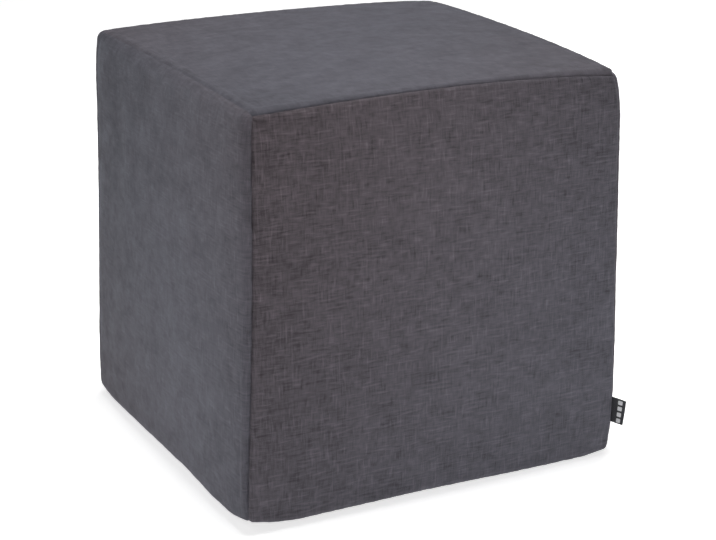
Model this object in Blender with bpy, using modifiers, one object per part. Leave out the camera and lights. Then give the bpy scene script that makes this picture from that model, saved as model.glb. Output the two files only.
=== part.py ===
"""Cube pouf stool: a foam-filled cover of six sewn cloth panels, with a folded tape label in one seam.

Metres, +Z up. The origin is on the floor, under the middle of the cube. The front panel faces -Y.
"""
import math

import bmesh
import bpy
from mathutils import Matrix, Vector

# Driving dimensions of the filled cover.
SIDE = 0.450                # between opposite panels, measured at the middles of their seams
HALF = SIDE / 2
EDGE_RADIUS = 0.0050        # of the cage over an edge of the foam; smoothing makes the cloth rounder there
SEAM_DEPTH = 0.0020         # how far a plain seam sinks between its two panels
SEAM_REACH = 0.004          # how far from the seam the cloth starts to dip into it
CROWN = 0.005               # how far the middle of a panel stands out past its seams

# How the tight cover draws the foam in: a long bow, and a sharper pull over the last few centimetres.
TOP_BOW = 0.0045            # dip of a top seam towards each of its ends
SIDE_BOW = 0.0008           # how far a side panel's ends lie behind its middle
CORNER_PULL = 0.0048        # pull of a corner along the seams that lie level
TOP_PULL = 0.0075           # pull of an upright seam at its top end
FOOT_PULL = 0.0061          # pull of an upright seam at its lower end
FOOT_LIFT = 0.0050          # how far the lower corners ride up off the floor
FOOT_FLAT = 0.76            # the underside lies flat where the product of a point's two shares is below this
FOOT_POWER = 1.5
SEAM_WANDER = 0.0040        # how far the near left upright seam strays towards +X, half way up
CORNER_POWER = 12
UPRIGHT_POWER = 8
SPREAD_POWER = 3            # how quickly a displacement fades from a panel into the foam behind it
PANEL_TURN = 0.5            # two cage faces whose normals have a smaller dot product meet at a seam

# How far each corner of the sewn cover sits off a true cube: (dx, dy, dz) by (x side, y side, z side).
CORNER_SHIFT = {
    (-1, -1, 1): (0.0030, -0.0014, -0.0003),
    (-1, 1, 1): (0.0051, -0.0015, 0.0010),
    (1, 1, 1): (0.0002, -0.0002, -0.0003),
    (1, -1, 1): (-0.0025, 0.0019, 0.0006),
    (-1, -1, -1): (-0.0058, 0.0004, 0.0),
    (-1, 1, -1): (-0.0028, 0.0, 0.0),
    (1, -1, -1): (0.0029, 0.0008, 0.0),
}

# The cage has a row of points at each of these distances from a seam, up to the middle of the panel.
CAGE_ROWS = (0.0, 0.0040, 0.0120, 0.0300, 0.0700, 0.1350, HALF)
CAGE_LEVELS = 1

# The folded tape label, sewn into the upright seam between the front panel and the +X panel.
LABEL_TOP = 0.0675          # height of the tape's upper edge above the floor, at the seam
LABEL_HEIGHT = 0.029
LABEL_REACH = 0.0165        # from the seam to the fold
LABEL_LAYER = 0.0010        # thickness of one layer of tape
LABEL_PARTING = 0.0006      # space between the two layers
LABEL_HEADING = math.radians(-52)   # the way the tape points, seen from above, from +X
LABEL_DROOP = math.radians(10)
LABEL_SEAT = 0.0009         # from the bottom of the seam, so that tape and panels don't touch
LABEL_FOLD_STEPS = 6
SEAM_SEARCH_STEPS = 40      # halvings that find the label's heights on the bowed seam

COVER_COLOUR = (0.082, 0.076, 0.085, 1.0)
COVER_ROUGHNESS = 0.95
LABEL_COLOUR = (0.012, 0.012, 0.013, 1.0)
LABEL_ROUGHNESS = 0.7


def clear_scene():
    for item in list(bpy.data.objects):
        bpy.data.objects.remove(item, do_unlink=True)


def new_collection(name):
    collection = bpy.data.collections.new(name)
    bpy.context.scene.collection.children.link(collection)
    return collection


def new_material(name, colour, roughness):
    material = bpy.data.materials.new(name)
    material.use_nodes = True
    shader = material.node_tree.nodes["Principled BSDF"]
    shader.inputs["Base Color"].default_value = colour
    shader.inputs["Roughness"].default_value = roughness
    shader.inputs["Metallic"].default_value = 0.0
    return material


def add_object(name, mesh, material, collection):
    mesh.materials.append(material)
    item = bpy.data.objects.new(name, mesh)
    collection.objects.link(item)
    return item


def cage_coordinate(step):
    """A uniform grid step, 0 to twice the last row, as a coordinate that crowds towards the seams."""
    last = len(CAGE_ROWS) - 1
    if step <= last:
        return CAGE_ROWS[step] - HALF
    return HALF - CAGE_ROWS[2 * last - step]


def rounded(point):
    """Turn the flat cube over its edges, and sink the seam that runs along the middle of each edge."""
    core = HALF - EDGE_RADIUS
    inner = Vector([max(-core, min(core, value)) for value in point])
    outward = (point - inner).normalized()
    nearest = sorted(abs(value) for value in point)[1]
    seam_share = max(0.0, 1.0 - (HALF - nearest) / SEAM_REACH)
    return inner + outward * (EDGE_RADIUS - SEAM_DEPTH * seam_share)


def bow(along, long_bow):
    """How far a side panel lies back, from its middle at 0 to its upright seams at -1 and 1."""
    return long_bow * along * along + CORNER_PULL * abs(along) ** CORNER_POWER


def corner_drift(a, b, c):
    """The corners' shifts, blended evenly over the cube."""
    drift = Vector((0.0, 0.0, 0.0))
    for (i, j, k), shift in CORNER_SHIFT.items():
        share = (1 + a * i) * (1 + b * j) * (1 + c * k) / 8
        drift += share * Vector(shift)
    return drift


def filled(point):
    """Where a point of the flat cube lies on the filled cover, with the cube's middle at the origin."""
    a, b, c = point / HALF
    place = rounded(point)
    face_a = math.copysign(abs(a) ** SPREAD_POWER, a)
    face_b = math.copysign(abs(b) ** SPREAD_POWER, b)
    pull = TOP_PULL if c > 0 else FOOT_PULL
    upright = pull * abs(c) ** UPRIGHT_POWER
    level = SIDE_BOW * (1 - abs(c) ** SPREAD_POWER)
    place.x += face_a * (CROWN * (1 - b * b) * (1 - c * c) - bow(b, level) - upright)
    place.y += face_b * (CROWN * (1 - a * a) * (1 - c * c) - bow(a, level) - upright)
    if c > 0:
        place.z -= c ** SPREAD_POWER * TOP_BOW * (a * a + b * b)
    else:
        corner_share = max(0.0, (abs(a * b) - FOOT_FLAT) / (1 - FOOT_FLAT))
        place.z += FOOT_LIFT * corner_share ** FOOT_POWER * abs(c) ** UPRIGHT_POWER
    if a < 0 and b < 0:
        place.x += SEAM_WANDER * abs(a * b) ** CORNER_POWER * math.cos(math.pi / 2 * c)
    return place + corner_drift(a, b, c) + Vector((0.0, 0.0, HALF))


def crease_seams(bm):
    """Keep the twelve seams as crisp lines: their edges lie on two panels of the flat cage."""
    crease = bm.edges.layers.float.new("crease_edge")
    for edge in bm.edges:
        normals = [face.normal for face in edge.link_faces]
        if normals[0].dot(normals[1]) < PANEL_TURN:
            edge[crease] = 1.0


def make_pouf(collection, material):
    """The six sewn panels over their filling, as one soft solid."""
    steps = 2 * (len(CAGE_ROWS) - 1)
    bm = bmesh.new()
    bmesh.ops.create_cube(bm, size=2.0)
    bmesh.ops.subdivide_edges(bm, edges=bm.edges, cuts=steps - 1, use_grid_fill=True)
    bm.normal_update()
    crease_seams(bm)
    for vert in bm.verts:
        grid = [round((value + 1) * steps / 2) for value in vert.co]
        vert.co = filled(Vector([cage_coordinate(step) for step in grid]))
    mesh = bpy.data.meshes.new("pouf_body")
    bm.to_mesh(mesh)
    bm.free()
    mesh.shade_smooth()
    item = add_object("pouf_body", mesh, material, collection)
    smooth = item.modifiers.new("Cloth curve", "SUBSURF")
    smooth.levels = CAGE_LEVELS
    smooth.render_levels = CAGE_LEVELS
    return item


def seam_point(height):
    """A point at the bottom of the upright seam between the front and +X panels, found by halving."""
    low, high = -HALF, HALF
    for _ in range(SEAM_SEARCH_STEPS):
        middle = (low + high) / 2
        if filled(Vector((HALF, -HALF, middle))).z < height:
            low = middle
        else:
            high = middle
    return filled(Vector((HALF, -HALF, low)))


def label_path():
    """The folded tape seen along its fold: out along one layer, round the fold, and back."""
    spread = (LABEL_LAYER + LABEL_PARTING) / 2
    turn = LABEL_REACH - spread - LABEL_LAYER / 2
    points = [(LABEL_SEAT, spread)]
    for step in range(LABEL_FOLD_STEPS + 1):
        angle = math.pi / 2 - math.pi * step / LABEL_FOLD_STEPS
        points.append((turn + spread * math.cos(angle), spread * math.sin(angle)))
    points.append((LABEL_SEAT, -spread))
    return points


def make_label(collection, material):
    """One strip of tape, folded in two, standing out of the seam and drooping a little."""
    top = seam_point(LABEL_TOP)
    foot = seam_point(LABEL_TOP - LABEL_HEIGHT)
    level = Vector((math.cos(LABEL_HEADING), math.sin(LABEL_HEADING), 0.0))
    out = level * math.cos(LABEL_DROOP) - Vector((0.0, 0.0, math.sin(LABEL_DROOP)))
    upright = (top - foot).normalized()
    across = upright.cross(out).normalized()
    bm = bmesh.new()
    rows = []
    for height in (0.0, LABEL_HEIGHT):
        rows.append([bm.verts.new((x, y, height)) for x, y in label_path()])
    for step in range(len(rows[0]) - 1):
        bm.faces.new((rows[0][step], rows[0][step + 1], rows[1][step + 1], rows[1][step]))
    mesh = bpy.data.meshes.new("side_label")
    bm.to_mesh(mesh)
    bm.free()
    item = add_object("side_label", mesh, material, collection)
    axes = Matrix((out, across, upright)).transposed().to_4x4()
    item.matrix_world = Matrix.Translation(foot) @ axes
    tape = item.modifiers.new("Tape", "SOLIDIFY")
    tape.thickness = LABEL_LAYER
    tape.offset = 0.0
    return item


def main():
    clear_scene()
    collection = new_collection("cube_pouf_stool")
    cover = new_material("cover_cloth", COVER_COLOUR, COVER_ROUGHNESS)
    tape = new_material("label_tape", LABEL_COLOUR, LABEL_ROUGHNESS)
    make_pouf(collection, cover)
    make_label(collection, tape)


main()
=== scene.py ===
"""Cube pouf stool, dressed for the render: a sewn slub-weave cover over its foam, and a folded tape label.

Metres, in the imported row's frame: +Z up, the front panel faces -Y, the near left panel faces -X.
"""

import math

import bpy
import numpy as np
from mathutils import Matrix, Vector


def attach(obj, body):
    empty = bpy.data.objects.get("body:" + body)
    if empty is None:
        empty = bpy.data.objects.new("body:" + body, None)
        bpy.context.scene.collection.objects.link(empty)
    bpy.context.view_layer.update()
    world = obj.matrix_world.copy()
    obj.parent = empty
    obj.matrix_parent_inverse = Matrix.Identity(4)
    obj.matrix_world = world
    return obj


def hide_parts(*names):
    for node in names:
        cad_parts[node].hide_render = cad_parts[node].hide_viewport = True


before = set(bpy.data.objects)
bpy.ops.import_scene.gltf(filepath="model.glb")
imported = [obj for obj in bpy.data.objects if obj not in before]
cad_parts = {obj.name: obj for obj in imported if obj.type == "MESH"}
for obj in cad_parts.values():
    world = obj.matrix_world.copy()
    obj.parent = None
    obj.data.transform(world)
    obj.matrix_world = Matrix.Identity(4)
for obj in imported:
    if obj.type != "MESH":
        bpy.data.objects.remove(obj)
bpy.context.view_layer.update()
MM = 0.001

# ---------------------------------------------------------------- camera
CAMERA_PLACE = (-0.985, -1.9808, 0.9144)
CAMERA_YAW = math.radians(63.22)        # of the line of sight, from +X towards +Y
CAMERA_PITCH = math.radians(18.249)     # below the horizon
CAMERA_ROLL = math.radians(0.127)
CAMERA_LENS = 103.04                    # mm, as is the sensor's width
CAMERA_SENSOR = 36.0

# ---------------------------------------------------------------- shape of the filled cover
HALF = 0.225                # half of the side, measured at the middles of the seams
ROUND = 12.0                # radius (mm) that the cloth takes over an edge, where nothing else is said
ROUND_LEAST = 3.0           # and the smallest such radius (mm)
EVEN_REACH = 0.060          # how far from a seam the rows are spaced out again after the seam is shifted
CROWN = 0.0025              # how far a panel's middle stands out past its seams, before it is pressed out
GROOVE_DEPTH = 0.0022       # of a full seam groove
GROOVE_REACH = 0.0035       # how far from the seam the cloth starts to dip into it
GROOVE_POWER = 1.5
TOP_BOW = 0.00405           # dip of a top seam towards each of its ends
SIDE_BOW = 0.00031          # how far a side panel's ends lie behind its middle
CORNER_PULL = 0.00215       # pull of a corner along the seams that lie level
TOP_PULL = 0.00563          # pull of an upright seam at its top end
FOOT_PULL = 0.00317         # pull of an upright seam at its lower end
FOOT_LIFT = 0.00547         # how far the lower corners ride up off the floor
FOOT_FLAT = 0.76            # the underside lies flat where the product of a point's two shares is below this
FOOT_POWER = 1.5
CORNER_POWER = 12
UPRIGHT_POWER = 8
SPREAD_POWER = 3            # how quickly a displacement fades from a panel into the foam behind it
TUCK_POWER = 9              # how quickly a corner's own tuck fades from it
SWING_SCALE = 2.6           # brings the largest swing of a seam to its stated size
RIGHT_ANGLE_LESS = math.pi / 2 - 1e-6   # the steepest angle that a tangent is taken of

# Each corner: its shift off a true cube (mm), its own tuck (mm), and how strongly the seams there are drawn
# towards the X, Y and Z panels, as logarithms.
CORNERS = {
    (-1, -1, 1): ((1.2, -0.5, -1.37), (-0.76, 0.51, 0.56), (0.0, 1.07, 0.55)),
    (-1, 1, 1): ((8.84, -2.73, -0.46), (-3.6, 1.43, 0.14), (0.0, 0.0, 0.64)),
    (1, 1, 1): ((4.39, -2.7, 2.42), (3, -2.68, -4.42), (0.0, 0.0, 0.5)),
    (1, -1, 1): ((-5.3, 1.44, -1.49), (1.6, -1.14, -0.76), (-0.32, 0.0, -0.5)),
    (-1, -1, -1): ((-9.05, -10.97, 0.0), (3.4, 2.29, 7.23), (0.0, -0.4, 1.3)),
    (-1, 1, -1): ((-2.7, 0.15, 0.0), (-0.57, 0.7, 1.02), (0.0, 0.0, 1)),
    (1, -1, -1): ((5.77, 4.77, 0.0), (-3.87, 2.18, -2.5), (0.4, 0.0, 1)),
    (1, 1, -1): ((0.0, 0.0, 0.0), (0.0, 0.0, 0.0), (0.0, 0.0, 1)),
}
UPRIGHT_SHIFT = 1.21        # extra pull of the near upright seam towards the front panel, half way up

# How far a seam strays on the two axes across it (mm): in its middle, and the swing between its two halves.
# Each seam is named by the axis it runs along and its sides on the other two.
SEAM_STRAY = {
    ("z", -1, 1): (0.63, -0.47, 0.54, 0.17),
    ("z", -1, -1): (0.62, -0.49, 0.07, 0.2),
    ("z", 1, -1): (-0.01, 0.23, 0.15, 0.15),
    ("y", -1, 1): (-1.27, -2.6, -0.3, -0.75),
    ("x", -1, 1): (0.58, 1.19, 0.11, 0.42),
    ("x", 1, 1): (-0.27, -0.84, 0.04, -0.61),
    ("y", 1, 1): (-1.25, 0.81, 0.27, -0.9),
    ("x", -1, -1): (2.73, 1.35, 0.13, -1.06),
    ("y", -1, -1): (1.58, 1.69, -0.23, -1.35),
}

# Uneven places along the two near bottom edges: the axis that the edge runs along, then the place's middle,
# its half width and how far it stands out (mm).
FOOT_SWELLS = [
    ("y", -125, 24, 1.1),
    ("y", -47, 22, -0.9),
    ("y", 70, 20, 0.4),
    ("x", -180, 9, -0.6),
    ("x", -158, 12, 0.9),
    ("x", -20, 34, -0.7),
    ("x", 85, 30, 0.8),
    ("x", 167, 17, -1.4),
]
FOOT_SWELL_POWER = 4        # how quickly such a place fades up the panel

# Radius (mm) that the cloth takes round a corner.
CORNER_ROUND = {
    (-1, -1, 1): 11.4,
    (-1, 1, 1): 8.5,
    (1, 1, 1): 10.9,
    (1, -1, 1): 12.5,
    (-1, -1, -1): 6.6,
    (-1, 1, -1): 12.6,
    (1, -1, -1): 6.6,
}
# Radius (mm) that it takes over the middle of an edge, and how much that grows towards the edge's + end.
EDGE_ROUND = {
    ("y", -1, 1): (20.0, 4.0),
    ("z", -1, 1): (15.5, 0.0),
    ("z", -1, -1): (13.5, 0.0),
    ("z", 1, -1): (13.5, 0.0),
    ("x", -1, 1): (6.5, 0.0),
    ("x", 1, 1): (12.7, 0.0),
    ("y", 1, 1): (13.0, 0.0),
    ("x", -1, -1): (16.0, 0.0),
    ("y", -1, -1): (15.0, 0.0),
}

# How deep the seams are beside a full groove, along an edge and at a corner, and how far a narrow one reaches
# (metres).
SEAM_DEPTH = {("y", -1, 1): 0.08, ("x", -1, 1): 0.42, ("z", -1, -1): 1.25}
CORNER_DEPTH = {(-1, 1, 1): 0.1, (-1, -1, 1): 0.15}
SEAM_WIDTH = {("x", -1, 1): 0.0021}
PLAIN_DEPTH = 0.75
DEPTH_POWER = 14            # how near a corner its own depth takes over

# Rows of the cover's grid: the first step from a seam, its growth, and the widest step.
ROW_FIRST = 0.0006
ROW_GROWTH = 1.13
ROW_WIDEST = 0.0047


def cube_rows():
    """Grid coordinates from -1 to 1 that crowd towards both ends."""
    rows, step = [0.0], ROW_FIRST
    while rows[-1] < HALF:
        rows.append(rows[-1] + step)
        step = min(step * ROW_GROWTH, ROW_WIDEST)
    half_rows = np.array(rows) / rows[-1] - 1.0
    return np.concatenate([half_rows, -half_rows[-2::-1]])


def corner_share(cube, corner):
    """How near each point of the unit cube is to a corner (0 to 1)."""
    return np.prod([(1 + cube[:, i] * corner[i]) / 2 for i in range(3)], axis=0)


def edge_share(cube, edge):
    """How near each point is to an edge (0 to 1), how far along it (-1 to 1), and the two axes across it."""
    run = "xyz".index(edge[0])
    sides = [axis for axis in range(3) if axis != run]
    share = (1 + cube[:, sides[0]] * edge[1]) / 2 * (1 + cube[:, sides[1]] * edge[2]) / 2
    return share ** 2, cube[:, run], sides


def seam_pull(cube):
    """Logarithms of how strongly the seams are drawn towards the X, Y and Z panels, at each point."""
    pull = sum(corner_share(cube, corner)[:, None] * np.array(facts[2]) for corner, facts in CORNERS.items())
    near_upright = ((1 - cube[:, 0]) / 2 * (1 - cube[:, 1]) / 2) ** 2
    pull[:, 1] += UPRIGHT_SHIFT * near_upright * (1 - cube[:, 2] ** 2)
    return pull


def rounding(cube):
    """The radius that the cloth takes over the foam's edges near each point, in metres."""
    radius = sum(corner_share(cube, corner) * CORNER_ROUND.get(corner, ROUND) for corner in CORNERS)
    for edge, (middle, growth) in EDGE_ROUND.items():
        share, along, _ = edge_share(cube, edge)
        radius += share * (1 - along ** 2) * (middle - ROUND + growth * along)
    return np.maximum(radius, ROUND_LEAST) * MM


def even_rows(flat, ratio, radius):
    """flat: distance from a seam on the cube. Returns where the row goes so that cloth lengths come out even,
    and the cloth's length from the seam to it."""
    start = np.arctan(ratio)
    arc = radius * (math.pi / 2 - start)
    even = flat * (arc + EVEN_REACH - radius) / EVEN_REACH
    angle = np.minimum(start + even / radius, RIGHT_ANGLE_LESS)
    placed = np.where(even < arc, radius - ratio * radius / np.tan(angle), radius + even - arc)
    beyond = flat > EVEN_REACH
    placed = np.where(beyond, flat, placed)
    even = np.where(beyond, flat + arc - radius, even)
    return np.maximum(placed, 0.0), even


def rounded_cube(cube, own):
    """The unit cube's points at full size, with its edges rounded and its seams shifted. own: each point's
    panel axis. Returns places, outward directions and the cloth's distance to the seam across each axis."""
    count = np.arange(len(cube))
    pull = seam_pull(cube)
    radius = rounding(cube)
    flat = cube * HALF
    moved = flat.copy()
    seam_gap = np.full((len(cube), 3), HALF)
    for axis in range(3):
        third = 3 - own - axis
        inside = own != axis
        rows = count[inside]
        other = third[inside]
        closeness = np.clip(1 - (HALF - np.abs(flat[rows, other])) / EVEN_REACH, 0, 1) ** 2
        mine = pull[rows, own[inside]]
        mine = mine + (pull[rows, other] - mine) * closeness / 2
        ratio = np.exp(mine - pull[rows, axis])
        placed, even = even_rows(HALF - np.abs(flat[rows, axis]), ratio, radius[rows])
        moved[rows, axis] = np.sign(flat[rows, axis]) * (HALF - placed)
        seam_gap[rows, axis] = even
    core = (HALF - radius)[:, None]
    inner = np.clip(moved, -core, core)
    outward = (moved - inner) * np.exp(pull)
    outward /= np.linalg.norm(outward, axis=1)[:, None]
    return inner + outward * radius[:, None], outward, seam_gap


def bow(along, long_bow):
    return long_bow * along ** 2 + CORNER_PULL * np.abs(along) ** CORNER_POWER


def draw_in(place, cube):
    """Crown the panels, and draw the edges, corners and feet in as the tight cover does."""
    a, b, c = cube.T
    a_spread = np.sign(a) * np.abs(a) ** SPREAD_POWER
    b_spread = np.sign(b) * np.abs(b) ** SPREAD_POWER
    upright = np.where(c > 0, TOP_PULL, FOOT_PULL) * np.abs(c) ** UPRIGHT_POWER
    level = SIDE_BOW * (1 - np.abs(c) ** SPREAD_POWER)
    place[:, 0] += a_spread * (CROWN * (1 - b ** 2) * (1 - c ** 2) - bow(b, level) - upright)
    place[:, 1] += b_spread * (CROWN * (1 - a ** 2) * (1 - c ** 2) - bow(a, level) - upright)
    place[:, 2] -= np.where(c > 0, np.abs(c) ** SPREAD_POWER * TOP_BOW * (a ** 2 + b ** 2), 0)
    near_corner = np.clip((np.abs(a * b) - FOOT_FLAT) / (1 - FOOT_FLAT), 0, 1)
    place[:, 2] += np.where(c < 0, FOOT_LIFT * near_corner ** FOOT_POWER * np.abs(c) ** UPRIGHT_POWER, 0)


def lead_astray(place, cube):
    """Move the corners, seams and bottom edges off their true places, as the photographed cover has them."""
    for corner, (shift, tuck, _) in CORNERS.items():
        share = corner_share(cube, corner)[:, None]
        place += share * np.array(shift) * MM + share ** TUCK_POWER * np.array(tuck) * MM
    for edge, stray in SEAM_STRAY.items():
        share, along, sides = edge_share(cube, edge)
        middle = share * (1 - along ** 2) * MM
        swing = share * along * (1 - along ** 2) * SWING_SCALE * MM
        place[:, sides[0]] += middle * stray[0] + swing * stray[2]
        place[:, sides[1]] += middle * stray[1] + swing * stray[3]
    for run, middle, half_width, out in FOOT_SWELLS:
        share, along, sides = edge_share(cube, (run, -1, -1))
        bump = np.exp(-((along * HALF - middle * MM) / (half_width * MM)) ** 2)
        place[:, sides[0]] -= share ** FOOT_SWELL_POWER * bump * out * MM


def cover_points(cube, own):
    """Where points of the unit cube lie on the filled cover, and the rest of what rounded_cube returns."""
    place, outward, seam_gap = rounded_cube(cube, own)
    draw_in(place, cube)
    lead_astray(place, cube)
    place[:, 2] += HALF
    return place, outward, seam_gap


# ---------------------------------------------------------------- relief of the seams
RIPPLE_WAVES = 7
RIPPLE_RATES = (0.6, 1.5)      # the slowest and the quickest of the waves, beside the stated one
RIPPLE_LEVEL = 1.6             # brings their sum back to about -1 to 1
PUCKER_DEPTH = 0.00030
PUCKER_LENGTH = 0.013
PUCKER_REACH = 0.009
STITCH_UNEVEN = 0.30           # how unevenly the thread draws the seams in
STITCH_LENGTH = 0.010
WAVE_DEPTH = 0.00045
WAVE_LENGTH = 0.110
WAVE_CLEAR = 0.030             # how far from a seam the slow waves have their depth
HOLLOW_CLEAR = 0.003           # how far from a seam the hollows and creases have theirs
ALLOWANCE_HEIGHT = 0.00040     # how far the turned-in cloth beside a seam lifts the panel
ALLOWANCE_WIDTH = 0.0105
ALLOWANCE_TROUGH = 0.00030     # dip beside the turned-in cloth
TROUGH_WIDTH = 0.0025
ALLOWANCE_RISE = (0.001, 0.004)    # its slope beside the seam, measured from the seam
ALLOWANCE_FALL = (-0.002, 0.001)   # its slope on the other side, measured from its width
ALLOWANCE_ENDS = (0.004, 0.020)    # where it starts, measured from the seams at its two ends
FIRMNESS = 0.75                # how much of it shows, and how far that swings along the seam
FIRMNESS_SWING = 0.25
FIRMNESS_LENGTH = 0.05
STITCH_SEED = 31
PUCKER_SEED = 11
WAVE_SEED = 5
FIRMNESS_SEED = 23
# Small hollows where the cloth gives beside a corner: the panel's axis, a place on the true cube, the reach
# and the depth.
HOLLOWS = [
    (1, (-0.213, -0.225, 0.212), 0.0090, 0.0022),
    (1, (0.211, -0.225, 0.211), 0.0100, 0.0010),
    (0, (-0.225, 0.211, 0.211), 0.0110, 0.0008),
    (0, (-0.225, -0.205, -0.208), 0.0120, 0.0010),
    (1, (-0.208, -0.225, -0.206), 0.0130, 0.0012),
    (1, (0.206, -0.225, -0.208), 0.0120, 0.0010),
    (2, (-0.205, -0.208, 0.225), 0.0120, 0.0007),
]
# Short creases beside a corner: the panel's axis, both ends on the true cube, the half width and the depth.
CREASES = [
    (1, (-0.2210, -0.225, 0.2180), (-0.2000, -0.225, 0.2165), 0.0028, 0.0018),
    (1, (-0.2180, -0.225, 0.2120), (-0.2130, -0.225, 0.2000), 0.0040, 0.0012),
]
# (panel, neighbour): the panel under which the seam's turned-in cloth lies.
ALLOWANCES = [
    ("-y", "+z"), ("+z", "-x"), ("+x", "+z"), ("+y", "+z"),
    ("-x", "-y"), ("+x", "-y"), ("+x", "+y"), ("-x", "+y"),
]


def ripple(points, length, seed):
    """Smooth even noise, about -1 to 1: a few sine waves in fixed random directions."""
    random = np.random.default_rng(seed)
    total = np.zeros(len(points))
    for _ in range(RIPPLE_WAVES):
        direction = random.normal(size=3)
        direction *= 2 * math.pi / length / np.linalg.norm(direction) * random.uniform(*RIPPLE_RATES)
        total += np.sin(points @ direction + random.uniform(0, 2 * math.pi))
    return total / math.sqrt(RIPPLE_WAVES / 2) / RIPPLE_LEVEL


def smooth_step(low, high, value):
    share = np.clip((value - low) / (high - low), 0, 1)
    return share * share * (3 - 2 * share)


def on_underside(cube, own):
    return (own == 2) & (cube[:, 2] < 0)


def seam_groove(cube, own, place, seam_gap):
    """How deep each point lies in the grooves of the two seams nearest to it on its panel, in metres."""
    tension = 1 + STITCH_UNEVEN * ripple(place, STITCH_LENGTH, STITCH_SEED)
    depths = {corner: CORNER_DEPTH.get(corner, PLAIN_DEPTH) for corner in CORNERS}
    near_corner = sum(corner_share(cube, corner) * depth for corner, depth in depths.items())
    groove = np.zeros(len(cube))
    for axis in range(3):
        third = 3 - own - axis
        inside = own != axis
        depth = np.full(len(cube), PLAIN_DEPTH)
        reach = np.full(len(cube), GROOVE_REACH)
        for (run, first, second), amount in SEAM_DEPTH.items():
            sides = [side for side in range(3) if side != "xyz".index(run)]
            on_edge = inside & (third == "xyz".index(run))
            on_edge &= (np.sign(cube[:, sides[0]]) == first) & (np.sign(cube[:, sides[1]]) == second)
            depth[on_edge] = amount
            reach[on_edge] = SEAM_WIDTH.get((run, first, second), GROOVE_REACH)
        along = np.abs(cube[np.arange(len(cube)), np.where(inside, third, 0)])
        depth += (near_corner - depth) * along ** DEPTH_POWER
        closeness = np.clip(1 - seam_gap[:, axis] / reach, 0, 1)
        sunk = GROOVE_DEPTH * depth * tension * closeness ** GROOVE_POWER
        groove = np.maximum(groove, np.where(inside, sunk, 0))
    return groove


def allowance_ridge(cube, own, place, seam_gap):
    """How far the turned-in cloth beside the seams lifts each point, with the dip beside it, in metres."""
    ridge = np.zeros(len(cube))
    firmness = FIRMNESS + FIRMNESS_SWING * ripple(place, FIRMNESS_LENGTH, FIRMNESS_SEED)
    far_edge = [ALLOWANCE_WIDTH + amount for amount in ALLOWANCE_FALL]
    for panel, neighbour in ALLOWANCES:
        axis, other = "xyz".index(panel[1]), "xyz".index(neighbour[1])
        side, other_side = (1 if panel[0] == "+" else -1), (1 if neighbour[0] == "+" else -1)
        here = (own == axis) & (np.sign(cube[:, axis]) == side) & (np.sign(cube[:, other]) == other_side)
        gap = seam_gap[:, other]
        swell = smooth_step(*ALLOWANCE_RISE, gap) - smooth_step(*far_edge, gap)
        trough = np.exp(-((gap - ALLOWANCE_WIDTH - TROUGH_WIDTH) / TROUGH_WIDTH) ** 2)
        ends = smooth_step(*ALLOWANCE_ENDS, seam_gap[:, 3 - axis - other])
        ridge += np.where(here, firmness * ends * (ALLOWANCE_HEIGHT * swell - ALLOWANCE_TROUGH * trough), 0)
    return ridge


def corner_hollows(cube, own):
    """How deep each point lies in the small hollows and creases beside the corners, in metres."""
    flat = cube * HALF
    hollow = np.zeros(len(cube))
    for axis, middle, reach, depth in HOLLOWS:
        away = np.linalg.norm(flat - np.array(middle), axis=1)
        hollow += np.where(own == axis, depth * np.exp(-(away / reach) ** 2), 0)
    for axis, start, end, half_width, depth in CREASES:
        run = np.array(end) - np.array(start)
        along = np.clip((flat - np.array(start)) @ run / (run @ run), 0, 1)
        away = np.linalg.norm(flat - np.array(start) - along[:, None] * run, axis=1)
        hollow += np.where(own == axis, depth * np.exp(-(away / half_width) ** 2), 0)
    return hollow


def seam_relief(cube, own, place, seam_gap):
    """How far each point stands out from the smooth cover, in metres. The underside has its grooves alone."""
    nearest = seam_gap.min(axis=1)
    pucker = PUCKER_DEPTH * ripple(place, PUCKER_LENGTH, PUCKER_SEED) * np.exp(-nearest / PUCKER_REACH)
    wave = WAVE_DEPTH * ripple(place, WAVE_LENGTH, WAVE_SEED) * smooth_step(0.0, WAVE_CLEAR, nearest)
    ridge = allowance_ridge(cube, own, place, seam_gap)
    hollow = corner_hollows(cube, own) * smooth_step(0.0, HOLLOW_CLEAR, nearest)
    relief = np.where(on_underside(cube, own), 0.0, pucker + wave + ridge - hollow)
    return relief - seam_groove(cube, own, place, seam_gap)


# ---------------------------------------------------------------- grids of the six panels
def panel_lattice(count):
    """The six panels' grids on the cube in whole numbers, one after another, with each one's axis and side."""
    steps = np.arange(count)
    first, second = np.meshgrid(steps, steps, indexing="ij")
    lattice, panels = [], []
    for axis in range(3):
        others = [i for i in range(3) if i != axis]
        for side in (-1, 1):
            grid = np.zeros((count, count, 3), int)
            grid[..., axis] = 0 if side < 0 else count - 1
            grid[..., others[0]] = first
            grid[..., others[1]] = second
            lattice.append(grid.reshape(-1, 3))
            panels.append((axis, side))
    return np.concatenate(lattice), panels


def cell_corners(grid, axis, side):
    """The four corners of every cell of one panel's grid, turned so that the faces look outward."""
    corners = np.stack([grid[:-1, :-1], grid[1:, :-1], grid[1:, 1:], grid[:-1, 1:]], axis=2)
    return corners[:, :, ::-1] if (side > 0) == (axis == 1) else corners


def laid_flat(here, number):
    """A panel's grid points as places on its flat cloth: lengths from its middle lines, and its number."""
    u = np.pad(np.cumsum(np.linalg.norm(np.diff(here, axis=0), axis=2), axis=0), ((1, 0), (0, 0)))
    v = np.pad(np.cumsum(np.linalg.norm(np.diff(here, axis=1), axis=2), axis=1), ((0, 0), (1, 0)))
    middle = len(here) // 2
    u -= u[middle].copy()
    v -= v[:, middle, None].copy()
    return np.stack([u, v, np.full_like(u, number)], axis=-1)


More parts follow.
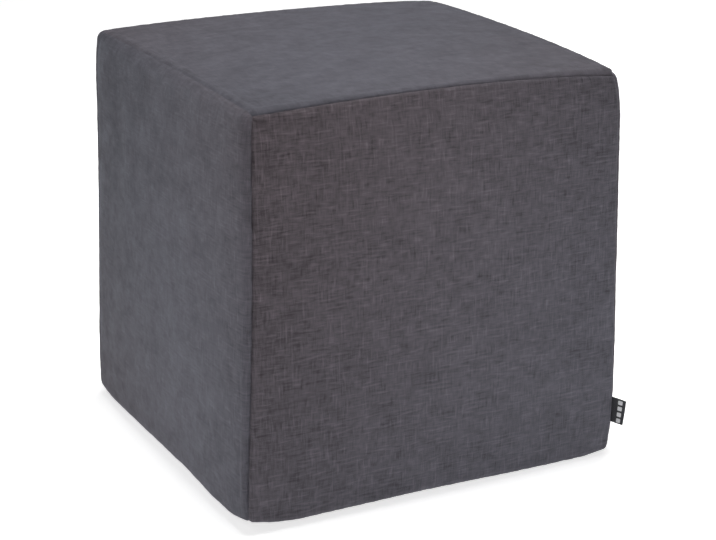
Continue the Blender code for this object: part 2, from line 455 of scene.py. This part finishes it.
# ---------------------------------------------------------------- the filling's pressure
FILL_ROWS = 45              # rows of the simulated copy, from seam to seam
FILL_FRAMES = 20
FILL_PRESSURE = 4.0
FILL_RISE = 0.0030          # the furthest that a point moves
FILL_HELD = 0.0060          # cloth nearer to a seam than this is held by the seam


def mesh_points(mesh):
    values = np.empty(len(mesh.vertices) * 3, np.float32)
    mesh.vertices.foreach_get("co", values)
    return values.reshape(-1, 3).astype(float)


def simulate_filling(mesh, held):
    """Where a closed mesh's points lie after the filling's pressure. held: those that stay put. The mesh is
    removed."""
    scene = bpy.context.scene
    trial = bpy.data.objects.new("filling_trial", mesh)
    scene.collection.objects.link(trial)
    group = trial.vertex_groups.new(name="held")
    group.add(held, 1.0, "REPLACE")
    cloth = trial.modifiers.new("Cloth", "CLOTH")
    cloth.settings.vertex_group_mass = group.name
    cloth.settings.use_pressure = True
    cloth.settings.uniform_pressure_force = FILL_PRESSURE
    cloth.settings.effector_weights.gravity = 0.0
    cloth.point_cache.frame_start = 1
    cloth.point_cache.frame_end = FILL_FRAMES
    for step in range(1, FILL_FRAMES + 1):
        scene.frame_set(step)
    pressed = mesh_points(trial.evaluated_get(bpy.context.evaluated_depsgraph_get()).data)
    scene.frame_set(1)
    bpy.data.objects.remove(trial, do_unlink=True)
    bpy.data.meshes.remove(mesh)
    return pressed


def every_row(grid, picked, rows):
    """A panel's coarse grid of vectors at the picked rows, interpolated to every row."""
    half = np.stack([[np.interp(rows, picked, line) for line in grid[..., axis].T] for axis in range(3)])
    full = [[np.interp(rows, picked, line) for line in half[axis].T] for axis in range(3)]
    return np.stack(full, axis=-1)


def pressed_out(place, index, panels, held, rows):
    """How far every point of the cover moves as the filling presses it out: a cloth simulation of every few
    rows of it, held by its seams and underside."""
    picked = np.unique(np.round(np.linspace(0, len(rows) - 1, FILL_ROWS)).astype(int))
    coarse = index[:, picked][:, :, picked]
    kept, local = np.unique(coarse, return_inverse=True)
    local = local.reshape(coarse.shape)
    quads = [cell_corners(at, *panel).reshape(-1, 4) for at, panel in zip(local, panels)]
    mesh = bpy.data.meshes.new("filling_trial")
    mesh.from_pydata(place[kept].tolist(), [], np.concatenate(quads).tolist())
    move = simulate_filling(mesh, np.flatnonzero(held[kept]).tolist()) - place[kept]
    move *= FILL_RISE / np.linalg.norm(move, axis=1).max()
    moves = np.zeros_like(place)
    for at, coarse_at in zip(index, local):
        moves[at] = every_row(move[coarse_at], rows[picked], rows)
    return moves


# ---------------------------------------------------------------- mesh of the cover
def grid_mesh(name, place, quads):
    mesh = bpy.data.meshes.new(name)
    mesh.vertices.add(len(place))
    mesh.vertices.foreach_set("co", place.astype(np.float32).ravel())
    mesh.loops.add(quads.size)
    mesh.loops.foreach_set("vertex_index", quads.astype(np.int32).ravel())
    mesh.polygons.add(len(quads))
    mesh.polygons.foreach_set("loop_start", np.arange(0, quads.size, 4, dtype=np.int32))
    return mesh


def make_cover():
    rows = cube_rows()
    lattice, panels = panel_lattice(len(rows))
    ids = np.ravel_multi_index(lattice.T, (len(rows),) * 3)
    _, first_seen, index = np.unique(ids, return_index=True, return_inverse=True)
    index = index.reshape(len(panels), len(rows), len(rows))
    own = np.repeat([axis for axis, _ in panels], len(rows) ** 2)[first_seen]
    cube = rows[lattice[first_seen]]
    place, outward, seam_gap = cover_points(cube, own)
    relief = outward * seam_relief(cube, own, place, seam_gap)[:, None]
    held = on_underside(cube, own) | (seam_gap.min(axis=1) < FILL_HELD)
    place += pressed_out(place, index, panels, held, rows)
    place += relief
    place[:, 2] = np.maximum(place[:, 2], 0.0)
    quads, cloth = [], []
    for number, (at, panel) in enumerate(zip(index, panels)):
        quads.append(cell_corners(at, *panel).reshape(-1, 4))
        cloth.append(cell_corners(laid_flat(place[at], number), *panel).reshape(-1, 3))
    mesh = grid_mesh("pouf_cover", place, np.concatenate(quads))
    spots = mesh.attributes.new("cloth", "FLOAT_VECTOR", "CORNER")
    spots.data.foreach_set("vector", np.concatenate(cloth).astype(np.float32).ravel())
    mesh.update()
    mesh.validate()
    mesh.shade_smooth()
    item = bpy.data.objects.new("pouf_cover", mesh)
    bpy.context.scene.collection.objects.link(item)
    return item


# ---------------------------------------------------------------- shader helpers
NOISE_RANGE = (0.3, 0.7)    # where nearly all of a noise node's values lie
COARSE = 0.6                # roughness of a noise whose finer layers stay strong


class Nodes:
    """Short calls that add nodes to one material."""

    def __init__(self, name):
        self.material = bpy.data.materials.new(name)
        self.material.use_nodes = True
        self.tree = self.material.node_tree
        self.shader = self.tree.nodes["Principled BSDF"]

    def put(self, socket, value):
        if isinstance(value, bpy.types.NodeSocket):
            self.tree.links.new(value, socket)
        else:
            socket.default_value = value

    def add(self, kind, **settings):
        item = self.tree.nodes.new(kind)
        for key, value in settings.items():
            setattr(item, key, value)
        return item

    def attribute(self, name):
        """The three parts of a mesh attribute."""
        parts = self.add("ShaderNodeSeparateXYZ")
        self.put(parts.inputs[0], self.add("ShaderNodeAttribute", attribute_name=name).outputs["Vector"])
        return parts.outputs

    def math(self, operation, first, second=0.0):
        item = self.add("ShaderNodeMath", operation=operation)
        self.put(item.inputs[0], first)
        self.put(item.inputs[1], second)
        return item.outputs[0]

    def times(self, first, second):
        return self.math("MULTIPLY", first, second)

    def plus(self, first, second):
        return self.math("ADD", first, second)

    def minus(self, first, second):
        return self.math("SUBTRACT", first, second)

    def size(self, value):
        return self.math("ABSOLUTE", value)

    def sine(self, value):
        return self.math("SINE", value)

    def cosine(self, value):
        return self.math("COSINE", value)

    def total(self, values):
        return values[0] if len(values) == 1 else self.plus(values[0], self.total(values[1:]))

    def vector(self, x, y, z):
        item = self.add("ShaderNodeCombineXYZ")
        for socket, value in zip(item.inputs, (x, y, z)):
            self.put(socket, value)
        return item.outputs[0]

    def noise(self, vector, detail=2.0, roughness=0.5):
        item = self.add("ShaderNodeTexNoise")
        self.put(item.inputs["Vector"], vector)
        item.inputs["Scale"].default_value = 1.0
        item.inputs["Detail"].default_value = detail
        item.inputs["Roughness"].default_value = roughness
        return item.outputs[0]

    def spread(self, value, limits, low=0.0, high=1.0, kind="LINEAR"):
        """A value's way between two limits, as a number from low to high."""
        item = self.add("ShaderNodeMapRange", interpolation_type=kind)
        for socket, number in zip(item.inputs, (value, *limits, low, high)):
            self.put(socket, number)
        return item.outputs[0]

    def ease(self, value, limits):
        """The same from 0 to 1, with soft ends."""
        return self.spread(value, limits, kind="SMOOTHSTEP")

    def blend(self, share, first, second, kind="MIX"):
        """Two colours mixed. The node's colours are its inputs 6 and 7, and the result its output 2."""
        item = self.add("ShaderNodeMix", data_type="RGBA", blend_type=kind)
        self.put(item.inputs[0], share)
        self.put(item.inputs[6], first)
        self.put(item.inputs[7], second)
        return item.outputs[2]

    def bump(self, height, distance):
        item = self.add("ShaderNodeBump")
        item.inputs["Strength"].default_value = 1.0
        item.inputs["Distance"].default_value = distance
        self.put(item.inputs["Height"], height)
        return item.outputs[0]

    def surface(self, **values):
        """Set the surface's inputs by name, with an underscore for each space."""
        for name, value in values.items():
            self.put(self.shader.inputs[name.replace("_", " ")], value)


# ---------------------------------------------------------------- cover cloth
WARP_PITCH = 0.00105
WEFT_PITCH = 0.00120
WARP_RUN = 0.0105           # how far along a yarn its shade stays alike
WEFT_RUN = 0.0095
YARN_WANDER = 1.6           # how far a yarn strays sideways, in pitches
WANDER_ACROSS = 60.0        # how quickly that changes across the yarns and along them, in noise cells a metre
WANDER_ALONG = 25.0
YARN_BAND = 1.45            # how many neighbouring yarns are alike
YARN_RANGE = (0.28, 0.72)   # of the yarns' shades in the noise, from dark to light
SLUB_WIDTH = 2.0            # in yarns
SLUB_LENGTH = 0.020
# Where in the noise a yarn turns thick, and where it turns thin.
WARP_SLUB_RANGE = (0.62, 0.80)
WEFT_SLUB_RANGE = (0.60, 0.78)
WARP_THIN_RANGE = (0.38, 0.20)
WEFT_THIN_RANGE = (0.40, 0.22)
CROSSING_RANGE = (-0.35, 0.35)  # how softly one yarn goes under the other
HUMP_POWER = 0.6            # how flat a yarn is over a crossing
FLECK_SIZE = 0.011          # patches where the dye took unevenly
CLOUD_SIZE = 0.040
NAP_SIZE = 0.030            # patches where the nap lies one way or the other
FUZZ_SIZE = 0.0004
# How many finer layers a noise has.
YARN_DETAIL = 1.5
FLECK_DETAIL = 1.5
NAP_DETAIL = 2.5
# How much each part of the weave lightens the cloth.
YARN_TONE = 0.22
# The gaps between the yarns are darker and their crowns lighter: painted shade and highlight of the weave's
# relief.
GAP_SHADE_TONE = -0.10
CROWN_HIGHLIGHT_TONE = 0.04
FUZZ_TONE = 0.01
SLUB_TONE = 0.25
THIN_TONE = -0.17
CLOUD_TONE = 0.08
FLECK_TONE = 0.10
TONE_SHIFT = -0.07
TONE_RANGE = (-0.75, 0.75)  # of the sum, from the darkest colour to the lightest
# How much each part of the weave stands up, beside the hump of a crossing.
YARN_RELIEF = 0.8
SLUB_RELIEF = 0.8
FUZZ_RELIEF = 0.25
WEAVE_RELIEF = 0.00010      # the height of the whole
# Where in the noise each pattern is read, and how far apart the panels' yarns are, so that none is repeated.
WEFT_WANDER_SPOT = 40.0
WEFT_SPOT = 17.0
WARP_SLUB_SPOT = 71.0
WEFT_SLUB_SPOT = 93.0
FUZZ_SPOT = 0.0
CLOUD_SPOT = 5.0
FLECK_SPOT = 29.0
NAP_SPOT = 51.0
PANEL_SPACING = 3.1
CLOTH_DARK = (0.0160, 0.0148, 0.0173, 1.0)
CLOTH_LIGHT = (0.1440, 0.1360, 0.1560, 1.0)
CLOTH_ROUGHNESS = 0.88
ROUGHNESS_SWING = 0.06
SHEEN_LOW = 0.06
SHEEN_HIGH = 0.25
SHEEN_ROUGHNESS = 0.38
SHEEN_TINT = (0.76, 0.82, 0.95, 1.0)
CLOTH_SPECULAR = 0.20
# The weave shows with less contrast everywhere but on the front panel: painted sheen, standing in for the
# sheen that veils the weave on the panels seen at a slant.
FRONT_PANEL = 2.0           # its number in the cloth attribute
VEILED_CONTRAST = 0.46      # of the weave there
VEILED_CONTRAST_NEAR = 0.72     # and towards the panels' near ends, at the first of these places along u
VEILED_PLACES = (-0.20, -0.02)
VEILED_BY_PANEL = 0.03
OPEN_CONTRAST_COOL = 0.82   # of the weave on the front panel
OPEN_CONTRAST_WARM = 1.22
# The dye drifts slowly between a warm and a cool shade.
DRIFT_WAVE = 3.1            # radians a metre
DRIFT_START = -1.57
DRIFT_PANEL = 3.77
DYE_COOL = (0.972, 1.0, 1.045, 1.0)
DYE_WARM = (1.135, 0.98, 0.946, 1.0)
# Slow waves of painted light and shade over the cloth, lighter or darker where the light falls more or less:
# strength, radians a metre along u and v, radians a panel, and start.
PAINTED_SHADE_WAVES = [(0.092, 8.63, -0.04, -0.16, -4.21), (0.068, -8.39, -5.81, 1.04, 0.55)]


def slub_weave(n, u, v, panel):
    """The yarns of a plain weave with thick and thin places. Returns how much they lighten the cloth, the
    shade of the yarn on top, and the height."""
    warp_wander = n.noise(n.vector(n.times(u, WANDER_ACROSS), n.times(v, WANDER_ALONG), panel), detail=1.0)
    wander_spot = n.plus(panel, WEFT_WANDER_SPOT)
    wander_at = n.vector(n.times(u, WANDER_ALONG), n.times(v, WANDER_ACROSS), wander_spot)
    weft_wander = n.noise(wander_at, detail=1.0)
    warp_at = n.plus(n.times(u, 1 / WARP_PITCH), n.times(warp_wander, YARN_WANDER))
    weft_at = n.plus(n.times(v, 1 / WEFT_PITCH), n.times(weft_wander, YARN_WANDER))
    # each yarn has its own shade, which changes slowly along it
    warp_spot = n.times(panel, PANEL_SPACING)
    weft_spot = n.plus(n.times(panel, PANEL_SPACING), WEFT_SPOT)
    warp_band, weft_band = n.times(warp_at, 1 / YARN_BAND), n.times(weft_at, 1 / YARN_BAND)
    warp_shade = n.noise(n.vector(warp_band, n.times(v, 1 / WARP_RUN), warp_spot), YARN_DETAIL)
    weft_shade = n.noise(n.vector(n.times(u, 1 / WEFT_RUN), weft_band, weft_spot), YARN_DETAIL)
    # slubs: thick light places, and thin dark ones, on a few yarns
    warp_yarn, weft_yarn = n.times(warp_at, 1 / SLUB_WIDTH), n.times(weft_at, 1 / SLUB_WIDTH)
    warp_lumps_at = n.vector(warp_yarn, n.times(v, 1 / SLUB_LENGTH), n.plus(panel, WARP_SLUB_SPOT))
    weft_lumps_at = n.vector(n.times(u, 1 / SLUB_LENGTH), weft_yarn, n.plus(panel, WEFT_SLUB_SPOT))
    warp_lumps, weft_lumps = n.noise(warp_lumps_at, detail=0.0), n.noise(weft_lumps_at, detail=0.0)
    slub = n.plus(n.ease(warp_lumps, WARP_SLUB_RANGE), n.ease(weft_lumps, WEFT_SLUB_RANGE))
    thin = n.plus(n.ease(warp_lumps, WARP_THIN_RANGE), n.ease(weft_lumps, WEFT_THIN_RANGE))
    # the yarn on top changes from crossing to crossing
    crossing = n.times(n.cosine(n.times(warp_at, math.pi)), n.cosine(n.times(weft_at, math.pi)))
    on_top = n.ease(crossing, CROSSING_RANGE)
    hump = n.math("POWER", n.size(crossing), HUMP_POWER)
    yarn_shade = n.plus(n.times(warp_shade, on_top), n.times(weft_shade, n.minus(1.0, on_top)))
    fuzz_at = n.vector(n.times(u, 1 / FUZZ_SIZE), n.times(v, 1 / FUZZ_SIZE), n.plus(panel, FUZZ_SPOT))
    fuzz = n.noise(fuzz_at, roughness=COARSE)
    tone = n.total([
        n.spread(yarn_shade, YARN_RANGE, -YARN_TONE, YARN_TONE),
        # painted shade in the gaps between the yarns, painted highlight on their crowns
        n.spread(hump, (0.0, 1.0), GAP_SHADE_TONE, CROWN_HIGHLIGHT_TONE),
        n.spread(fuzz, NOISE_RANGE, -FUZZ_TONE, FUZZ_TONE),
        n.times(slub, SLUB_TONE),
        n.times(thin, THIN_TONE),
    ])
    lumps = n.plus(n.times(slub, SLUB_RELIEF), n.times(fuzz, FUZZ_RELIEF))
    height = n.plus(n.plus(hump, n.times(yarn_shade, YARN_RELIEF)), lumps)
    return tone, yarn_shade, height


def painted_shade_waves(n, u, v, panel):
    """The slow waves of painted light and shade over the cloth, as a list."""
    waves = []
    for strength, along_u, along_v, by_panel, start in PAINTED_SHADE_WAVES:
        angle = n.total([n.times(u, along_u), n.times(v, along_v), n.times(panel, by_panel), start])
        waves.append(n.times(n.sine(angle), strength))
    return waves


def cloth_material():
    n = Nodes("slub_weave")
    u, v, panel = n.attribute("cloth")

    def patches(size, spot, detail=2.0, roughness=0.5):
        place = n.vector(n.times(u, 1 / size), n.times(v, 1 / size), n.plus(panel, spot))
        return n.noise(place, detail, roughness)

    weave_tone, yarn_shade, height = slub_weave(n, u, v, panel)
    drift = n.plus(n.times(n.minus(v, u), DRIFT_WAVE), n.plus(n.times(panel, DRIFT_PANEL), DRIFT_START))
    warmth = n.spread(n.sine(drift), (-1.0, 1.0))
    off_front = n.math("GREATER_THAN", n.size(n.minus(panel, FRONT_PANEL)), 0.5)
    open_weave = n.spread(warmth, (0.0, 1.0), OPEN_CONTRAST_COOL, OPEN_CONTRAST_WARM)
    # the weave's contrast is lowered off the front panel: painted sheen
    from_near = n.plus(u, n.times(panel, VEILED_BY_PANEL))
    sheen_veiled = n.spread(from_near, VEILED_PLACES, VEILED_CONTRAST_NEAR, VEILED_CONTRAST)
    crisp = n.plus(n.times(off_front, sheen_veiled), n.times(n.minus(1.0, off_front), open_weave))
    # the slow waves paint light and shade into the cloth's tone
    tone = n.total(painted_shade_waves(n, u, v, panel) + [
        TONE_SHIFT,
        n.times(weave_tone, crisp),
        n.spread(patches(CLOUD_SIZE, CLOUD_SPOT), NOISE_RANGE, -CLOUD_TONE, CLOUD_TONE),
        n.spread(patches(FLECK_SIZE, FLECK_SPOT, FLECK_DETAIL, COARSE), NOISE_RANGE, FLECK_TONE, -FLECK_TONE),
    ])
    colour = n.blend(n.spread(tone, TONE_RANGE), CLOTH_DARK, CLOTH_LIGHT)
    dye = n.blend(warmth, DYE_COOL, DYE_WARM)
    rough, smooth = CLOTH_ROUGHNESS + ROUGHNESS_SWING, CLOTH_ROUGHNESS - ROUGHNESS_SWING
    nap = patches(NAP_SIZE, NAP_SPOT, NAP_DETAIL, COARSE)
    n.surface(
        Base_Color=n.blend(1.0, colour, dye, "MULTIPLY"),
        Roughness=n.spread(yarn_shade, NOISE_RANGE, rough, smooth),
        Normal=n.bump(n.times(height, crisp), WEAVE_RELIEF),
        Sheen_Weight=n.spread(nap, NOISE_RANGE, SHEEN_LOW, SHEEN_HIGH),
        Sheen_Roughness=SHEEN_ROUGHNESS,
        Sheen_Tint=SHEEN_TINT,
        Specular_IOR_Level=CLOTH_SPECULAR,
    )
    return n.material


# ---------------------------------------------------------------- folded tape label
LABEL_TOP = 0.0675          # height of the tape's upper edge above the floor, at the seam
LABEL_HEIGHT = 0.029
LABEL_REACH = 0.0178        # from the seam to the fold
LABEL_LAYER = 0.0006        # thickness of one layer of tape
LABEL_PARTING = 0.0005      # space between the two layers at the seam
LABEL_BELLY = 0.0007        # how much further apart the layers stand half way out
LABEL_HEADING = math.radians(-52)   # the way the tape points, seen from above, from +X
LABEL_DROOP = math.radians(10)
LABEL_LEAN = 0.0024         # how much further out the upper end of the fold lies than the lower end
LABEL_CURL = 0.0009         # how far the fold's middle is turned sideways
CURL_BALANCE = 0.4          # share of the curl by which the two ends turn the other way
LABEL_SEAT = 0.0009         # from the bottom of the seam
LABEL_CELL = 0.0004         # spacing of the tape's mesh
FOLD_POINTS = 9
SEAM_LEVELS = 2001          # points of the seam that are looked through for a height
TAPE_DARK = (0.007, 0.007, 0.010, 1.0)
TAPE_LIGHT = (0.021, 0.021, 0.028, 1.0)
TAPE_SMOOTH = 0.50
TAPE_ROUGH = 0.66
TAPE_SHEEN = 0.12
TAPE_SPECULAR = 0.45
RIB_PITCH = 0.00042
TWILL_PITCH = 0.0005
TWILL_SLOPE = 0.5
THREAD_OUT = 1800.0         # noise cells a metre, out from the seam and up the tape
THREAD_UP = 5200.0
MARK_DARK = (0.36, 0.36, 0.375, 1.0)
MARK_LIGHT = (0.70, 0.70, 0.72, 1.0)
MARK_FROM = 0.0094          # the woven mark's column, measured out from the seam
MARK_TO = 0.0144
MARK_COUNT = 4
BLOCK_STRETCH = 2.85        # a block's half height is its pitch over this
CHAMFER_ACROSS = 0.62       # its corners are cut where these shares of its two coordinates come to 1
CHAMFER_ALONG = 1.45
MARK_RAGGED = 0.08          # how far the ribs break its edge
MARK_EDGE = (1.04, 0.94)    # the edge's width, from off a block to on it
MARK_THREADS = (0.2, 0.8)   # of the noise, from the faintest thread to the strongest
MARK_FAINT = 0.6
MARK_STRONG = 1.2
TWILL_RELIEF = 0.5          # beside the ribs
MARK_RELIEF = 1.2
TAPE_RELIEF = 0.00008       # the height of the whole


def seam_point(height):
    """The bottom of a full groove on the upright seam between the front and +X panels, at a given height."""
    levels = np.linspace(-1, 1, SEAM_LEVELS)
    cube = np.stack([np.ones_like(levels), -np.ones_like(levels), levels], axis=1)
    place, outward, _ = cover_points(cube, np.ones(len(cube), int))
    place -= outward * GROOVE_DEPTH
    return Vector([float(np.interp(height, place[:, 2], place[:, i])) for i in range(3)])


def label_section():
    """The folded tape seen along its fold: out along one layer, round the fold, and back."""
    half_gap = (LABEL_LAYER + LABEL_PARTING) / 2
    length = LABEL_REACH - half_gap - LABEL_LAYER / 2 - LABEL_SEAT
    count = int(length / LABEL_CELL)
    layer = []
    for i in range(count):
        belly = LABEL_BELLY / 2 * math.sin(math.pi * i / count) ** 2
        layer.append((LABEL_SEAT + length * i / count, half_gap + belly))
    fold = []
    for angle in np.linspace(math.pi / 2, -math.pi / 2, FOLD_POINTS):
        fold.append((LABEL_SEAT + length + half_gap * math.cos(angle), half_gap * math.sin(angle)))
    return layer + fold + [(x, -y) for x, y in reversed(layer)]


def make_label():
    top, foot = seam_point(LABEL_TOP), seam_point(LABEL_TOP - LABEL_HEIGHT)
    level = Vector((math.cos(LABEL_HEADING), math.sin(LABEL_HEADING), 0.0))
    out = level * math.cos(LABEL_DROOP) - Vector((0.0, 0.0, math.sin(LABEL_DROOP)))
    upright = (top - foot).normalized()
    across = upright.cross(out).normalized()
    axes = np.array([out, across, upright])
    reach, apart = np.array(label_section()).T
    heights = np.linspace(0, LABEL_HEIGHT, int(LABEL_HEIGHT / LABEL_CELL) + 1)
    curl = LABEL_CURL * (reach / LABEL_REACH) ** 2
    points, spots = [], []
    for height in heights:
        turn = math.sin(math.pi * height / LABEL_HEIGHT) - CURL_BALANCE
        lean = LABEL_LEAN * (height / LABEL_HEIGHT - 0.5) * reach / LABEL_REACH
        level_heights = np.full(len(reach), height)
        local = np.stack([reach + lean, apart + curl * turn, level_heights], axis=1)
        points.append(local @ axes + np.array(foot))
        spots.append(np.stack([reach, level_heights, np.sign(apart)], axis=1))
    index = np.arange(len(heights) * len(reach)).reshape(len(heights), len(reach))
    quads = np.stack([index[:-1, :-1], index[:-1, 1:], index[1:, 1:], index[1:, :-1]], axis=-1)
    mesh = bpy.data.meshes.new("folded_label")
    mesh.from_pydata(np.concatenate(points).tolist(), [], quads.reshape(-1, 4).tolist())
    place = mesh.attributes.new("tape", "FLOAT_VECTOR", "POINT")
    place.data.foreach_set("vector", np.concatenate(spots).astype(np.float32).ravel())
    mesh.shade_smooth()
    item = bpy.data.objects.new("folded_label", mesh)
    bpy.context.scene.collection.objects.link(item)
    thick = item.modifiers.new("Tape", "SOLIDIFY")
    thick.thickness = LABEL_LAYER
    thick.offset = 0.0
    return item


def block_column(n, out, height, ribs):
    """A plain woven column of rounded blocks: 1 on a block and 0 off it, with ragged edges."""
    half_width = (MARK_TO - MARK_FROM) / 2
    across = n.size(n.times(n.minus(out, MARK_FROM + half_width), 1 / half_width))
    along = n.size(n.minus(n.math("FRACT", n.times(height, MARK_COUNT / LABEL_HEIGHT)), 0.5))
    chamfer = n.plus(n.times(across, CHAMFER_ACROSS), n.times(along, CHAMFER_ALONG))
    block = n.math("MAXIMUM", across, n.times(along, BLOCK_STRETCH))
    ragged = n.times(n.minus(ribs, 0.5), MARK_RAGGED)
    return n.spread(n.plus(n.math("MAXIMUM", chamfer, block), ragged), MARK_EDGE)


def tape_material():
    n = Nodes("woven_tape")
    out, height, side = n.attribute("tape")
    ribs = n.size(n.sine(n.times(height, math.pi / RIB_PITCH)))
    twill_at = n.plus(out, n.times(height, TWILL_SLOPE))
    twill = n.size(n.sine(n.times(twill_at, math.pi / TWILL_PITCH)))
    mark = block_column(n, out, height, ribs)
    thread = n.noise(n.vector(n.times(out, THREAD_OUT), n.times(height, THREAD_UP), side), roughness=COARSE)
    ground = n.blend(n.spread(thread, NOISE_RANGE), TAPE_DARK, TAPE_LIGHT)
    strength = n.spread(thread, MARK_THREADS, MARK_FAINT, MARK_STRONG)
    # the mark is darker in the valleys between the ribs, which is painted shade, and its threads vary in
    # strength
    bright = n.blend(n.times(ribs, strength), MARK_DARK, MARK_LIGHT)
    relief = n.plus(n.plus(ribs, n.times(twill, TWILL_RELIEF)), n.times(mark, MARK_RELIEF))
    n.surface(
        Base_Color=n.blend(mark, ground, bright),
        Roughness=n.spread(thread, NOISE_RANGE, TAPE_SMOOTH, TAPE_ROUGH),
        Normal=n.bump(relief, TAPE_RELIEF),
        Sheen_Weight=TAPE_SHEEN,
        Specular_IOR_Level=TAPE_SPECULAR,
    )
    return n.material


# ---------------------------------------------------------------- camera, floor and light
FLOOR_REACH = 14.0
FLOOR_COLOUR = (0.90, 0.90, 0.90, 1.0)
FLOOR_ROUGHNESS = 0.9
FLOOR_GLOW = 0.66
WHITE = (1.0, 1.0, 1.0, 1.0)
WORLD_STRENGTH = 0.08
# name: (place, aimed at, size, power in watts)
LAMPS = {
    "overhead_softbox": ((0.0, -0.05, 2.4), (0.0, 0.0, 0.3), 0.7, 43.5),
    "back_softbox": ((1.9, 1.7, 2.0), (0.0, 0.0, 0.3), 1.6, 22.0),
    "left_high_fill": ((-2.2, 0.4, 2.0), (0.0, 0.0, 0.3), 1.4, 4.5),
    "front_high_fill": ((-1.6, -2.0, 2.2), (0.0, 0.0, 0.25), 1.4, 4.0),
    "left_low_fill": ((-1.0, -0.25, 0.10), (-0.2, 0.0, 0.05), 0.3, 0.7),
    "near_low_fill": ((-0.85, -0.70, 0.14), (-0.225, -0.1, 0.12), 0.3, 0.75),
    "front_low_fill": ((0.9, -1.1, 0.12), (0.2, -0.2, 0.1), 0.4, 4.4),
}


def aim_camera():
    yaw, pitch, roll = CAMERA_YAW, CAMERA_PITCH, CAMERA_ROLL
    forward = Vector((math.cos(yaw) * math.cos(pitch), math.sin(yaw) * math.cos(pitch), -math.sin(pitch)))
    right = Vector((math.sin(yaw), -math.cos(yaw), 0.0))
    up = right.cross(forward)
    turned_right = math.cos(roll) * right + math.sin(roll) * up
    turned_up = math.cos(roll) * up - math.sin(roll) * right
    turn = Matrix((turned_right, turned_up, -forward)).transposed().to_4x4()
    data = bpy.data.cameras.new("camera")
    data.lens = CAMERA_LENS
    data.sensor_width = CAMERA_SENSOR
    item = bpy.data.objects.new("camera", data)
    item.matrix_world = Matrix.Translation(CAMERA_PLACE) @ turn
    bpy.context.scene.collection.objects.link(item)
    bpy.context.scene.camera = item


def make_floor():
    corners = [(x * FLOOR_REACH, y * FLOOR_REACH, 0.0) for x, y in ((-1, -1), (1, -1), (1, 1), (-1, 1))]
    mesh = bpy.data.meshes.new("studio_floor")
    mesh.from_pydata(corners, [], [(0, 1, 2, 3)])
    n = Nodes("pale_floor")
    n.surface(
        Base_Color=FLOOR_COLOUR,
        Roughness=FLOOR_ROUGHNESS,
        Specular_IOR_Level=0.0,
        Emission_Color=WHITE,
        Emission_Strength=FLOOR_GLOW,
    )
    mesh.materials.append(n.material)
    item = bpy.data.objects.new("studio_floor", mesh)
    bpy.context.scene.collection.objects.link(item)


def make_light():
    world = bpy.data.worlds.new("soft_room")
    world.use_nodes = True
    background = world.node_tree.nodes["Background"]
    background.inputs["Color"].default_value = WHITE
    background.inputs["Strength"].default_value = WORLD_STRENGTH
    bpy.context.scene.world = world
    for name, (place, target, size, power) in LAMPS.items():
        data = bpy.data.lights.new(name, "AREA")
        data.shape = "DISK"
        data.size = size
        data.energy = power
        item = bpy.data.objects.new(name, data)
        item.location = place
        item.visible_camera = False
        item.rotation_euler = (Vector(target) - Vector(place)).to_track_quat("-Z", "Y").to_euler()
        bpy.context.scene.collection.objects.link(item)
    bpy.context.scene.view_settings.view_transform = "Standard"


aim_camera()
make_floor()
make_light()

cover = make_cover()
cover.data.materials.append(cloth_material())
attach(cover, "root")
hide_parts("pouf_body")

label = make_label()
label.data.materials.append(tape_material())
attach(label, "root")
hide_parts("side_label")
